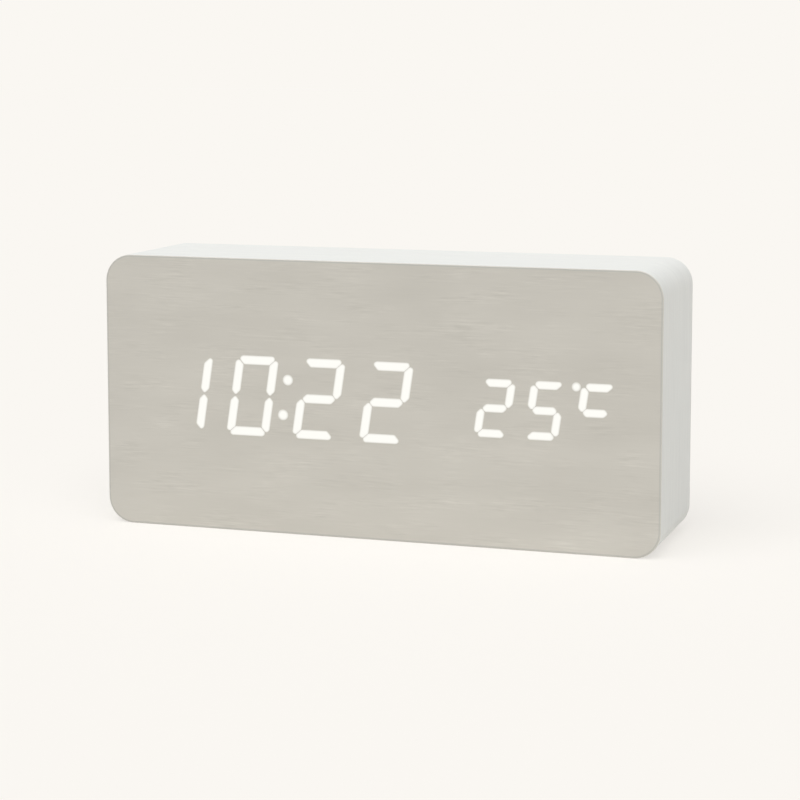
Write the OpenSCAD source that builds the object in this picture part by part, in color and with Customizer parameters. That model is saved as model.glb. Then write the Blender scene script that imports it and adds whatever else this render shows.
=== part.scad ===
// Digital alarm clock in a film-wrapped fibreboard case.
// Millimetres, +Z up, front facing -Y, origin at the middle of the underside.

/* [Case] */
// Width over the wrapping film
case_w = 150; // [138:1:175]
// Height over the wrapping film
case_h = 72; // [64:1:90]
// Depth from the front film to the back rim
case_d = 38; // [36:1:50]
// Radius of the four corner edges that run front to back
corner_r = 7; // [4:0.5:12]
// Radius of the softened front and back rims
edge_r = 0.35; // [0.1:0.05:0.4]
// Thickness of the side walls, film included
side_wall = 6; // [5:0.5:7]
// Thickness of the fibreboard behind the front film
front_wall = 6; // [5:0.5:8]
// Thickness of the wood-grain film
film_t = 0.4; // [0.2:0.1:0.8]
// Radius in the corners of the routed hollow
cavity_r = 3; // [1:0.5:4]
// Side of the square screw posts left in the hollow's corners
post_w = 10; // [9:0.5:10.5]

/* [Display] */
// Place of the colon, from the case's left side
time_x = 50.8; // [49:0.1:53]
// Width of a time digit, between segment centre lines
big_w = 9.6; // [8:0.1:10.5]
// Height of a time digit, between segment centre lines
big_h = 18.8; // [16:0.1:20]
// Width of a time digit's segments
big_seg = 2.25; // [2:0.05:2.6]
// Distance from one time digit to the next
big_pitch = 18.4; // [17.5:0.05:19]
// Place of the middle temperature digit, from the case's right side
temp_x = 29.85; // [29:0.05:31]
// Width of a temperature digit, between segment centre lines
small_w = 7; // [6:0.05:7.5]
// Height of a temperature digit, between segment centre lines
small_h = 12.9; // [11:0.1:14]
// Width of a temperature digit's segments
small_seg = 2; // [1.8:0.05:2.3]
// Distance from one temperature digit to the next
small_pitch = 12.95; // [12.5:0.05:13.5]
// Lean of the digits, in degrees
slant = 8.5; // [0:0.5:10]
// Gap between neighbouring segments
seg_gap = 0.2; // [0.15:0.05:0.5]
// Cut across the outer corners of a digit
seg_cut = 1.3; // [0.4:0.05:1.6]
// Diameter of the colon's dots
colon_d = 2.7; // [2.2:0.05:3.2]
// Height of a colon dot above or below the display's middle
colon_rise = 4.6; // [3:0.1:6]
// Diameter of the degree dot
degree_d = 2.2; // [1.9:0.05:2.3]
// Distance from the last digit's left segments to the degree dot
degree_out = 2.3; // [2.25:0.05:2.6]
// Border of the reflector around the digits
reflector_margin = 3; // [2:0.1:3.5]
// Clearance of the reflector in the case's window
window_gap = 0.3; // [0.1:0.1:0.6]
// Clearance of a lens in its cavity
lens_clear = 0.05; // [0.02:0.01:0.1]
// Air between a lens and the light-emitting chip behind it
lens_air = 0.7; // [0.3:0.1:1.5]

/* [Rear cover] */
// Thickness of the cover's plate
cover_t = 2.2; // [1.8:0.1:2.8]
// Depth of the cover below the back rim
cover_inset = 1.2; // [1.1:0.1:2]
// Width of the ledge that the cover sits on
rebate_w = 2.5; // [1.5:0.1:3.5]
// Clearance around the cover
cover_gap = 0.2; // [0.1:0.05:0.4]
// Thickness of the lip that centres the cover in the hollow
lip_t = 1.2; // [0.8:0.1:2]
// Depth of that lip
lip_h = 2; // [1:0.5:3]
// Width of the sound holes and vents
vent_d = 1.2; // [0.8:0.1:1.5]

/* [Battery bay] */
// Diameter of a cell
cell_d = 10.5; // [10:0.1:11]
// Length of a cell over its button
cell_l = 44.5; // [43:0.5:46]
// Number of cells
cell_count = 3; // [2:1:3]
// Gap between cells, and beside the outer ones
cell_gap = 0.4; // [0.3:0.1:0.8]
// Clearance of the cells in their cradles
cell_clear = 0.15; // [0.1:0.01:0.2]
// Length of a pressed contact spring
spring_l = 5.5; // [5:0.1:7]
// Wire of the contact springs
spring_wire = 0.6; // [0.5:0.05:0.7]
// Turns of a contact spring
spring_turns = 3.5; // [2.5:0.5:3.5]
// Thickness of the contact plates
plate_t = 0.4; // [0.3:0.05:0.6]
// Thickness of the bay's walls and floor
bay_wall = 1.6; // [1.2:0.1:2]

/* [Battery door] */
// Thickness of the door
door_t = 1.6; // [1.2:0.1:1.8]
// Clearance around the door
door_gap = 0.2; // [0.15:0.05:0.4]
// Width of the ledge that the door sits on
ledge_w = 2.6; // [2.4:0.1:3]
// Thickness of that ledge
ledge_t = 1.4; // [1:0.1:1.8]
// Width of each of the door's two hooks
hook_w = 6; // [4:0.5:8]
// Distance between the hooks' middles
hook_spread = 30; // [20:1:36]
// Width of the springy latch tongue
latch_w = 12; // [8:0.5:16]
// Length of the slits beside the latch tongue
latch_l = 9; // [8:0.5:12]
// Height of the ribs inside the door, which lie between the cells
door_rib_h = 1.2; // [0.8:0.1:1.5]

/* [Buttons] */
// Diameter of a button cap
button_d = 6.5; // [5:0.1:7]
// Height of a cap above the cover
button_proud = 1; // [0.8:0.1:1.1]
// Depth of the finger dish in a cap
button_dish = 0.35; // [0.1:0.05:0.5]
// Distance between buttons
button_pitch = 14; // [12:0.5:15]
// Height of the buttons above the board's middle
button_rise = 6; // [5.5:0.1:7]
// Clearance of a cap in its hole
button_gap = 0.3; // [0.15:0.05:0.4]
// Diameter of the flange that keeps a cap in
flange_d = 8.6; // [8.4:0.1:9]
// Thickness of that flange
flange_t = 1; // [0.8:0.1:1.4]
// Travel of a button
button_travel = 0.4; // [0.2:0.05:0.6]
// Side of a push switch's body
switch_w = 6; // [5:0.1:7]
// Height of a push switch's body
switch_h = 3.5; // [3:0.1:4]
// Diameter of a push switch's plunger
plunger_d = 3.4; // [3:0.1:3.8]
// Height of a plunger above its switch
plunger_out = 1.5; // [1:0.1:2]

/* [Boards] */
// Thickness of both circuit boards
board_t = 1.6; // [1:0.1:2]
// Width of the control board
control_w = 52; // [51:1:56]
// Height of the control board
control_h = 33; // [32.5:0.5:36]
// Width over the power socket's shell
usb_w = 7.6; // [7:0.1:8.5]
// Height over the power socket's shell
usb_h = 2.9; // [2.6:0.1:3.4]
// Thickness of that shell
usb_shell_t = 0.3; // [0.2:0.05:0.4]
// Diameter of the buzzer
buzzer_d = 9.5; // [8:0.1:10]
// Height of the buzzer
buzzer_h = 4.5; // [3:0.1:5]
// Diameter of the microphone capsule
microphone_d = 6; // [4:0.1:6.5]
// Diameter of the memory coin cell
coin_d = 20; // [18:0.1:20.5]
// Thickness of the memory coin cell
coin_t = 3.2; // [2.5:0.1:3.5]
// Diameter of the battery leads
lead_d = 1.2; // [0.8:0.1:1.6]

/* [Screws] */
// Diameter of the cover's screws
cover_screw_d = 2.5; // [2:0.1:2.8]
// Length of the cover's screws below the head
cover_screw_l = 12; // [8:0.5:14]
// Diameter of the board screws
board_screw_d = 2; // [1.6:0.1:2.2]
// Length of the board screws below the head
board_screw_l = 5.6; // [4:0.1:6]
// Clearance of a screw in a through hole
screw_clear = 0.2; // [0.1:0.05:0.3]
// Clearance of a screw in its pilot hole
pilot_clear = 0.05; // [0.02:0.01:0.1]

/* [Hidden] */
$fn = 64;
over = 1; // how far a cut runs past a face

// Planes from front to back
front = -case_d / 2;
back = case_d / 2;
film_back = front + film_t;
rim_film = back - film_t;
board_front = film_back + front_wall;
board_back = board_front + board_t;
cover_out = back - cover_inset;
cover_in = cover_out - cover_t;
flange_clear = 0.1;
flange_back = cover_in - flange_clear;
flange_front = flange_back - flange_t;
switch_top = flange_front - plunger_out;
control_back = switch_top - switch_h;
control_front = control_back - board_t;

// The case inside its wrapping film, its hollow and its posts
mid_z = case_h / 2;
inner_w = case_w - 2 * film_t;
inner_h = case_h - 2 * film_t;
inner_r = corner_r - film_t;
cavity_w = case_w - 2 * side_wall;
cavity_h = case_h - 2 * side_wall;
opening_w = cavity_w + 2 * rebate_w;
opening_h = cavity_h + 2 * rebate_w;
opening_r = cavity_r + rebate_w;
post_x = (cavity_w - post_w) / 2;
post_z = (cavity_h - post_w) / 2;
lip_gap = 0.3;

// Screw heads are a fixed multiple of the screw's diameter
head_wide = 2;
head_high = 0.72;
head_sink = 1.2;
head_clear = 0.3;
recess_long = 1.2;
recess_wide = 0.25;
pilot_spare = 0.3;

// The display: segments count clockwise from the top one, and the middle one comes last
lean = tan(slant);
TIME_LIT = [[1, 2], [0, 1, 2, 3, 4, 5], [0, 1, 3, 4, 6], [0, 1, 3, 4, 6]];
TEMP_LIT = [[0, 1, 3, 4, 6], [0, 2, 3, 5, 6], [0, 5, 6]];
function in_row(i, lit) = i - (len(lit) - 1) / 2;
colon_x = time_x - case_w / 2;
temp_mid = case_w / 2 - temp_x;
time_places = [for (i = [0:len(TIME_LIT) - 1]) colon_x + in_row(i, TIME_LIT) * big_pitch];
temp_places = [for (i = [0:len(TEMP_LIT) - 1]) temp_mid + in_row(i, TEMP_LIT) * small_pitch];
last_temp = temp_places[len(temp_places) - 1];
big_reach = -time_places[0] + (big_w + big_seg) / 2 + lean * (big_h + big_seg) / 2;
small_reach = last_temp + (small_w + small_seg) / 2 + lean * (small_h + small_seg) / 2;
reflector_w = 2 * (max(big_reach, small_reach) + reflector_margin);
reflector_h = big_h + big_seg + 2 * reflector_margin;
board_rim = 1.2;
board_gap = 0.5;
display_board_w = reflector_w + 2 * board_rim;
display_board_h = cavity_h - 2 * board_gap;
display_screw_edge = 4;
display_screw_x = post_x - post_w / 2 - board_gap - display_screw_edge;
display_screw_z = display_board_h / 2 - display_screw_edge;
led_chip_size = [1.6, 0.7, 0.8];
lens_depth = front_wall - led_chip_size.y - lens_air;
FORMS = ["a", "b", "b", "a", "b", "b", "g"];
SIDES = [[1, 1], [1, 1], [1, -1], [1, -1], [-1, -1], [-1, 1], [1, 1]];
degree_x = last_temp - small_w / 2 - degree_out + lean * small_h / 2;
dots = [
  [colon_x + lean * colon_rise, mid_z + colon_rise, colon_d],
  [colon_x - lean * colon_rise, mid_z - colon_rise, colon_d],
  [degree_x, mid_z + small_h / 2, degree_d]
];

// The battery bay, with cells that lie across and point in turn right and left
cell_pitch = cell_d + cell_gap;
cell_nub_d = 3.8;
cell_nub_h = 0.8;
cell_edge = 0.5;
bay_l = cell_l + spring_l + 2 * plate_t;
bay_h = cell_count * cell_pitch + cell_gap;
door_w = bay_l + 2 * ledge_w;
door_h = bay_h + 2 * ledge_w;
door_r = 1.5;
collar_w = 1.6;
post_gap = 0.5;
bay_x = -cavity_w / 2 + post_w + post_gap + collar_w + door_w / 2;
door_in = cover_out - door_t;
ledge_in = door_in - ledge_t;
cell_under_door = 0.3;
cell_y = door_in - cell_under_door - cell_d / 2;
bay_floor = cell_y - cell_d / 2 - cell_clear;
bay_out = bay_floor - bay_wall;
cradle_depth = 2.5;
plate_w = 8;
plate_half_h = 4.5;
plate_clear = 0.2;
tail_w = 2.5;
tail_out = 1.2;
tail_end = bay_out - tail_out;
spring_r_plate = 3.6;
spring_r_cell = 2;
spring_touch = 0.03;
spring_rings = 8;
spring_sides = 6;

// The battery door, which turns on its upper outer edge
door_top = mid_z + door_h / 2 - door_gap;
door_bottom = mid_z - door_h / 2 + door_gap;
hook_t = 1.2;
hook_foot = 1;
hook_under = 0.4;
hook_reach = 1.4;
hook_side = 0.4;
hook_spare = 0.3;
hook_deep = door_t + ledge_t + hook_under + hook_foot;
hook_swing = norm([hook_deep, hook_reach]) + hook_spare;
slit_w = 0.8;
grip_ribs = 3;
grip_pitch = 1.6;
grip_h = 0.5;
scoop_r = 6;
scoop_depth = 1.3;
scoop_down = 1.5;
door_rib_t = 1;
door_rib_in = 3;

// The control board, centred between the bay and the right wall; places are from its middle
control_x = (bay_x + door_w / 2 + collar_w + cavity_w / 2) / 2;
boss_d = 5;
boss_edge = 3;
boss_x = control_w / 2 - boss_edge;
boss_z = control_h / 2 - boss_edge;
cap_edge = 0.5;
mark_r = 0.95;
mark_dot_r = 0.6;
mark_h = 0.2;
mark_root = 0.3;
plunger_in = 0.9;
plunger_side = 0.15;
usb_at = [14, -7];
usb_clear = 0.3;
usb_sunk = 0.2;
usb_end = cover_out - usb_sunk;
usb_base = 2;
usb_taper = 1;
usb_tongue_size = [3.6, 0.6];
usb_tongue_back = 1;
buzzer_at = [-14, -7];
buzzer_hole = [1.6, 1];
grille_r = 2.7;
grille_holes = 6;
microphone_at = [0, -5.5];
microphone_h = 2.7;
sensor_at = [4, -13];
sensor_d = 2.4;
sensor_stand = 3.6;
vent_long = 4.8;
vent_pitch = 2.4;
sensor_y = control_back + sensor_stand;
sensor_lead_d = 0.5;
sensor_lead_x = 0.6;
coin_at = [10, -2.5];
coin_clear = 0.15;
holder_rim = 1.5;
holder_base = 0.8;
holder_notch = 8;
strap_w = 5;
strap_t = 0.4;
strap_side = 0.1;
chip_size = [17.9, 7.5, 2.3];
chip_legs = 14;
chip_leg_pitch = 1.27;
chip_leg = [0.4, 1.4, 0.3];
chip_stand = 0.1;
chip_shoulder = 1;
driver_x = -12;
controller_at = [-11, 7.5];
capacitor_at = [-15, -5];
capacitor_d = 5;
capacitor_h = 6;
crystal_at = [-7, -5];
crystal_d = 2;
crystal_l = 6;
resistors_at = [-18, -12.5];
resistor_size = [2, 0.5, 1.25];
resistor_count = 6;
resistor_pitch = 3;
socket_size = [14, 6, 4.5];
socket_at = [12, 13.2];
socket_drop = 8;
ribbon_w = 13;
ribbon_t = 1;
ribbon_steps = 16;
lead_pad = [-24, 4];
lead_dip = 8;
lead_steps = 22;
lead_sides = 8;

// Which way a cell points, and where the contact plates are: [side, height, plate height]
function cell_z(i) = mid_z + (i - (cell_count - 1) / 2) * cell_pitch;
function cell_way(i) = i % 2 == 0 ? 1 : -1;
last_cell = cell_count - 1;
end_plates = [[1, cell_z(0), plate_w], [-cell_way(last_cell), cell_z(last_cell), plate_w]];
link_plates = [for (i = [0:last_cell - 1])
  [-cell_way(i), (cell_z(i) + cell_z(i + 1)) / 2, cell_pitch + plate_w]];

// Shapes that repeat

module rounded(w, h, r) {
  square([w - 2 * r, h], center = true);
  square([w, h - 2 * r], center = true);
  for (x = [-1, 1], z = [-1, 1])
    translate([x * (w / 2 - r), z * (h / 2 - r)]) circle(r);
}

// A plate parallel to the front, drawn in X and Z, from one depth to another
module slab(from, to) {
  translate([0, to, 0]) rotate([90, 0, 0]) linear_extrude(to - from) children();
}

module panel(w, h, r, from, to, x = 0) {
  slab(from, to) translate([x, mid_z]) rounded(w, h, r);
}

// A block with round corner edges, and softened rims at its front and back
module softened(w, h, r, from, to, edge) {
  deep = to - from;
  translate([0, (from + to) / 2, mid_z]) {
    linear_extrude(h - 2 * r, center = true) rounded(w, deep, edge);
    rotate([0, 90, 0]) linear_extrude(w - 2 * r, center = true) rounded(h, deep, edge);
    for (x = [-1, 1], z = [-1, 1])
      translate([x * (w / 2 - r), 0, z * (h / 2 - r)]) rotate([90, 0, 0]) rotate_extrude()
        intersection() {
          rounded(2 * r, deep, edge);
          translate([0, -deep / 2]) square([r, deep]);
        }
  }
}

module block(x, z, w, h, from, to) {
  translate([x - w / 2, from, z - h / 2]) cube([w, to - from, h]);
}

module peg(x, z, d, from, to) {
  translate([x, to, z]) rotate([90, 0, 0]) cylinder(d = d, h = to - from);
}

// Stands what is drawn on a board: way 1 stands it towards the back, -1 towards the front
module on_board(x, z, board, way) {
  translate([x, board, z]) rotate([-90 * way, 0, 0]) children();
}

module on_control(at, way) {
  on_board(control_x + at.x, mid_z + at.y, way > 0 ? control_back : control_front, way) children();
}

module at_corners(x, z, middle = 0) {
  for (sx = [-1, 1], sz = [-1, 1])
    translate([middle + sx * x, 0, mid_z + sz * z]) children();
}

module at_posts() {
  at_corners(post_x, post_z) children();
}

module at_bosses() {
  at_corners(boss_x, boss_z, control_x) children();
}

module at_display_screws() {
  at_corners(display_screw_x, display_screw_z) children();
}

module screw(d, l, under_head, way) {
  head_h = d * head_high;
  on_board(0, 0, under_head, way) difference() {
    union() {
      translate([0, 0, -l]) cylinder(d = d, h = l);
      cylinder(d = d * head_wide, h = head_h);
    }
    for (a = [0, 90])
      rotate(a) translate([0, 0, head_h]) cube([d * recess_long, d * recess_wide, head_h], center = true);
  }
}

// A chip with gull-wing legs along its two long sides
module legged_chip() {
  translate([-chip_size.x / 2, -chip_size.y / 2, chip_stand]) cube(chip_size);
  row = (chip_legs - 1) * chip_leg_pitch;
  for (i = [0:chip_legs - 1], turn = [0, 180])
    rotate(turn) translate([i * chip_leg_pitch - (row + chip_leg.x) / 2, chip_size.y / 2, 0]) {
      cube(chip_leg);
      cube([chip_leg.x, chip_leg.z, chip_shoulder]);
    }
}

module ribbon_socket() {
  translate([-socket_size.x / 2, -socket_size.z / 2, 0]) cube([socket_size.x, socket_size.z, socket_size.y]);
}

// A tube of triangles around a path, with rings square to it
function unit(v) = v / norm(v);
function along(path, i) = unit(path[min(i + 1, len(path) - 1)] - path[max(i - 1, 0)]);
function ring(path, i, r, sides, ref) =
  let (t = along(path, i), u = unit(cross(t, ref)), v = cross(t, u))
  [for (k = [0:sides - 1]) path[i] + r * (cos(360 * k / sides) * u + sin(360 * k / sides) * v)];

module tube(path, r, sides, ref) {
  last = (len(path) - 1) * sides;
  points = [for (i = [0:len(path) - 1]) each ring(path, i, r, sides, ref)];
  walls = [for (a = [0:sides:last - 1], k = [0:sides - 1])
    let (p = a + k, q = a + (k + 1) % sides)
    each [[p, q + sides, q], [p, p + sides, q + sides]]];
  ends = [for (k = [1:sides - 2]) each [[0, k, k + 1], [last, last + k + 1, last + k]]];
  polyhedron(points, concat(walls, ends));
}

function bezier(p, steps) = [for (i = [0:steps]) let (t = i / steps, s = 1 - t)
  s * s * s * p[0] + 3 * s * s * t * p[1] + 3 * s * t * t * p[2] + t * t * t * p[3]];

// Outlines of a digit's segments, for a digit centred on the origin

function segment_a(w, h, t, gap) =
  let (x = (w + t) / 2 - gap, y = (h + t) / 2)
  [[seg_cut - x, y], [x - seg_cut, y], [x - seg_cut / 2, y - seg_cut / 2],
    [x - t, y - t], [t - x, y - t], [seg_cut / 2 - x, y - seg_cut / 2]];

function segment_b(w, h, t, gap) =
  let (x = (w + t) / 2, y = (h + t) / 2 - gap)
  [[x, y - seg_cut], [x, t / 2 + gap], [x - t / 2, gap / 2], [x - t, t / 2 + gap],
    [x - t, y - t], [x - seg_cut / 2, y - seg_cut / 2]];

function segment_g(w, t, gap) =
  let (x = w / 2 - gap)
  [[-x, 0], [t / 2 - x, t / 2], [x - t / 2, t / 2], [x, 0], [x - t / 2, -t / 2], [t / 2 - x, -t / 2]];

function leaned(p, side) = [side.x * p.x + lean * side.y * p.y, side.y * p.y];

function segment(i, w, h, t, gap) =
  let (outline = FORMS[i] == "a" ? segment_a(w, h, t, gap)
    : FORMS[i] == "b" ? segment_b(w, h, t, gap) : segment_g(w, t, gap))
  [for (p = outline) leaned(p, SIDES[i])];

function segment_middle(i, w, h) =
  leaned(FORMS[i] == "a" ? [0, h / 2] : FORMS[i] == "b" ? [w / 2, h / 4] : [0, 0], SIDES[i]);

// Every segment of a row of digits, or only its lit or unlit ones
module segments(places, w, h, t, lit, want, clear) {
  for (d = [0:len(places) - 1], i = [0:len(FORMS) - 1]) {
    state = len(search(i, lit[d])) > 0 ? "lit" : "unlit";
    if (want == "all" || want == state)
      translate([places[d], mid_z]) polygon(segment(i, w, h, t - 2 * clear, seg_gap + 2 * clear));
  }
}

module time_segments(want, clear = 0) {
  segments(time_places, big_w, big_h, big_seg, TIME_LIT, want, clear);
}

module temp_segments(want, clear = 0) {
  segments(temp_places, small_w, small_h, small_seg, TEMP_LIT, want, clear);
}

module lenses() {
  slab(film_back, film_back + lens_depth) children();
}

// Case

module case_body() {
  color("#b3926b") difference() {
    panel(inner_w, inner_h, inner_r, film_back, rim_film);
    difference() {
      panel(cavity_w, cavity_h, cavity_r, board_front, back);
      at_posts() block(0, 0, post_w, post_w, board_front - over, cover_in);
    }
    panel(opening_w, opening_h, opening_r, cover_in, back);
    slab(film_back - over, board_front + over) translate([0, mid_z])
      square([reflector_w + 2 * window_gap, reflector_h + 2 * window_gap], center = true);
    at_posts() peg(0, 0, cover_screw_d + 2 * pilot_clear,
      cover_out - head_sink - cover_screw_l - pilot_spare, back);
    at_display_screws() peg(0, 0, board_screw_d + 2 * pilot_clear,
      board_back - board_screw_l - pilot_spare, board_front + over);
  }
}

module wrapped_form() {
  softened(case_w, case_h, corner_r, front, back, edge_r);
}

module front_layer() {
  block(0, mid_z, case_w + 2 * over, case_h + 2 * over, front - over, film_back);
}

module wrap_film() {
  color("#f2f1ed") difference() {
    wrapped_form();
    panel(inner_w, inner_h, inner_r, front - over, back + over);
    front_layer();
  }
}

module front_film() {
  color("#cdc9c0") intersection() {
    wrapped_form();
    front_layer();
  }
}

module back_film() {
  color("#f2f1ed") difference() {
    panel(inner_w, inner_h, inner_r, rim_film, back);
    panel(opening_w, opening_h, opening_r, rim_film - over, back + over);
  }
}

// Display

module display_reflector() {
  color("#e9e8e4") slab(film_back, board_front) difference() {
    translate([0, mid_z]) square([reflector_w, reflector_h], center = true);
    time_segments("all");
    temp_segments("all");
    for (p = dots) translate([p.x, p.y]) circle(d = p.z);
  }
}

module lit_time_segments() {
  color("#fffff5") lenses() time_segments("lit", lens_clear);
}

module lit_temperature_segments() {
  color("#fffff5") lenses() temp_segments("lit", lens_clear);
}

module lit_dots() {
  color("#fffff5") for (p = dots) peg(p.x, p.y, p.z - 2 * lens_clear, film_back, film_back + lens_depth);
}

module unlit_segments() {
  color("#d8d8d2") lenses() {
    time_segments("unlit", lens_clear);
    temp_segments("unlit", lens_clear);
  }
}

module led_chip(at) {
  block(at.x, at.y, led_chip_size.x, led_chip_size.z, board_front - led_chip_size.y, board_front);
}

module led_chips() {
  color("#f4e9a8") {
    for (x = time_places, i = [0:len(FORMS) - 1]) led_chip([x, mid_z] + segment_middle(i, big_w, big_h));
    for (x = temp_places, i = [0:len(FORMS) - 1]) led_chip([x, mid_z] + segment_middle(i, small_w, small_h));
    for (p = dots) led_chip(p);
  }
}

// A board as high as the hollow, notched around the corner posts
module display_board() {
  notch = post_w + 2 * board_gap;
  color("#2f6b46") difference() {
    block(0, mid_z, display_board_w, display_board_h, board_front, board_back);
    at_posts() block(0, 0, notch, notch, board_front - over, board_back + over);
    at_display_screws() peg(0, 0, board_screw_d + 2 * screw_clear, board_front - over, board_back + over);
  }
}

module driver_chip() {
  color("#26272a") on_board(driver_x, mid_z, board_back, 1) legged_chip();
}

module display_socket() {
  color("#efece2") on_board(control_x + socket_at.x, mid_z + socket_at.y - socket_drop, board_back, 1)
    ribbon_socket();
}

module display_screws() {
  color("#b9babd") at_display_screws() screw(board_screw_d, board_screw_l, board_back, 1);
}

// Rear cover with its battery bay

module rear_cover() {
  color("#1f2022") difference() {
    union() {
      panel(opening_w - 2 * cover_gap, opening_h - 2 * cover_gap, opening_r - cover_gap, cover_in, cover_out);
      block(bay_x, mid_z, door_w + 2 * collar_w, door_h + 2 * collar_w, ledge_in, cover_in);
      block(bay_x, mid_z, bay_l + 2 * bay_wall, bay_h + 2 * bay_wall, bay_out, cover_in);
      at_bosses() peg(0, 0, boss_d, control_back, cover_in);
      cover_lip();
    }
    bay_hollow();
    door_recess();
    screw_holes();
    control_holes();
  }
}

// Bars inside the cover, between the posts, that centre it in the hollow
module cover_lip() {
  bar_w = cavity_w - 2 * (post_w + lip_gap);
  bar_h = cavity_h - 2 * (post_w + lip_gap);
  for (side = [-1, 1]) {
    block(0, mid_z + side * ((cavity_h - lip_t) / 2 - lip_gap), bar_w, lip_t, cover_in - lip_h, cover_in);
    block(side * ((cavity_w - lip_t) / 2 - lip_gap), mid_z, lip_t, bar_h, cover_in - lip_h, cover_in);
  }
}

module bay_hollow() {
  block(bay_x, mid_z, bay_l, bay_h, bay_floor + cradle_depth, cover_out + over);
  for (i = [0:last_cell])
    translate([bay_x - bay_l / 2, cell_y, cell_z(i)]) rotate([0, 90, 0])
      cylinder(d = cell_d + 2 * cell_clear, h = bay_l);
  for (p = concat(end_plates, link_plates))
    block(bay_x + p[0] * (bay_l / 2 - plate_t), p[1], 2 * plate_t, p[2] + 2 * plate_clear,
      cell_y - plate_half_h - plate_clear, cell_y);
  for (p = end_plates)
    block(bay_x + p[0] * (bay_l - plate_t) / 2, p[1], plate_t + 2 * plate_clear, tail_w + 2 * plate_clear,
      bay_out - over, cell_y);
}

module door_recess() {
  panel(door_w, door_h, door_r + door_gap, door_in, cover_out + over, bay_x);
  for (side = [-1, 1])
    block(bay_x + side * hook_spread / 2, door_top + (door_gap - hook_swing) / 2,
      hook_w + 2 * hook_side, hook_swing + door_gap, cover_out - hook_swing, cover_out);
  translate([bay_x - latch_w / 2, cover_out + scoop_r - scoop_depth, door_bottom - scoop_down])
    rotate([0, 90, 0]) cylinder(r = scoop_r, h = latch_w);
}

module screw_holes() {
  at_posts() {
    peg(0, 0, cover_screw_d + 2 * screw_clear, cover_in - over, cover_out + over);
    peg(0, 0, cover_screw_d * head_wide + 2 * head_clear, cover_out - head_sink, cover_out + over);
  }
  at_bosses() peg(0, 0, board_screw_d + 2 * pilot_clear, control_back - over,
    control_front + board_screw_l + pilot_spare);
}

module control_holes() {
  for (i = [-1:1])
    peg(control_x + i * button_pitch, mid_z + button_rise, button_d + 2 * button_gap,
      cover_in - over, cover_out + over);
  slab(cover_in - over, cover_out + over) translate([control_x + usb_at.x, mid_z + usb_at.y])
    polygon(usb_outline(usb_clear));
  for (i = [1:grille_holes], a = 360 * i / grille_holes)
    sound_hole(buzzer_at + grille_r * [cos(a), sin(a)]);
  sound_hole(buzzer_at);
  sound_hole(microphone_at);
  for (i = [-1:1])
    block(control_x + sensor_at.x + i * vent_pitch, mid_z + sensor_at.y, vent_d, vent_long,
      cover_in - over, cover_out + over);
}

module sound_hole(at) {
  peg(control_x + at.x, mid_z + at.y, vent_d, cover_in - over, cover_out + over);
}

module cover_screws() {
  color("#3c3d40") at_posts() screw(cover_screw_d, cover_screw_l, cover_out - head_sink, 1);
}

module battery_door() {
  color("#222325") {
    difference() {
      panel(door_w - 2 * door_gap, door_h - 2 * door_gap, door_r, door_in, cover_out, bay_x);
      for (side = [-1, 1])
        block(bay_x + side * (latch_w + slit_w) / 2, door_bottom + latch_l / 2, slit_w, latch_l + over,
          door_in - over, cover_out + over);
    }
    for (side = [-1, 1])
      door_hook(bay_x + side * hook_spread / 2);
    for (i = [1:grip_ribs])
      block(bay_x, door_bottom + i * grip_pitch, latch_w, grip_pitch / 2, cover_out, cover_out + grip_h);
    for (i = [0:last_cell - 1])
      block(bay_x, (cell_z(i) + cell_z(i + 1)) / 2, bay_l - 2 * door_rib_in, door_rib_t,
        door_in - door_rib_h, door_in);
  }
}

module door_hook(x) {
  leg_top = door_top - door_gap;
  block(x, leg_top - hook_t / 2, hook_w, hook_t, cover_out - hook_deep, door_in);
  block(x, leg_top + (hook_reach - hook_t) / 2, hook_w, hook_t + hook_reach,
    cover_out - hook_deep, cover_out - hook_deep + hook_foot);
}

// A cell drawn from its flat end to its button, turned to lie along X
module battery_cells() {
  body_l = cell_l - cell_nub_h;
  r = cell_d / 2;
  color("#4f6f8c") for (i = [0:last_cell])
    translate([bay_x + cell_way(i) * (bay_l / 2 - plate_t - cell_l), cell_y, cell_z(i)])
      rotate([0, 90 * cell_way(i), 0]) rotate_extrude()
        polygon([[0, 0], [r - cell_edge, 0], [r, cell_edge], [r, body_l - cell_edge], [r - cell_edge, body_l],
          [cell_nub_d / 2, body_l], [cell_nub_d / 2, cell_l], [0, cell_l]]);
}

module contact_plates() {
  color("#c4c6c8") {
    for (p = concat(end_plates, link_plates))
      block(bay_x + p[0] * (bay_l - plate_t) / 2, p[1], plate_t, p[2],
        cell_y - plate_half_h, cell_y + plate_half_h);
    for (p = end_plates)
      block(bay_x + p[0] * (bay_l - plate_t) / 2, p[1], plate_t, tail_w, tail_end, cell_y - plate_half_h);
  }
}

// A conical coil from a contact plate to a cell's flat end, around X from the origin
spring_path = [for (i = [0:spring_turns * spring_rings])
  let (t = i / (spring_turns * spring_rings), a = 360 * i / spring_rings,
    r = spring_r_plate + t * (spring_r_cell - spring_r_plate), end = spring_wire / 2 + spring_touch)
  [end + t * (spring_l - 2 * end), r * cos(a), r * sin(a)]];

module contact_springs() {
  color("#d2d4d6") for (i = [0:last_cell])
    translate([bay_x - cell_way(i) * (bay_l / 2 - plate_t), cell_y, cell_z(i)])
      rotate([0, 0, cell_way(i) > 0 ? 0 : 180])
        tube(spring_path, spring_wire / 2, spring_sides, [1, 0, 0]);
}

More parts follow.
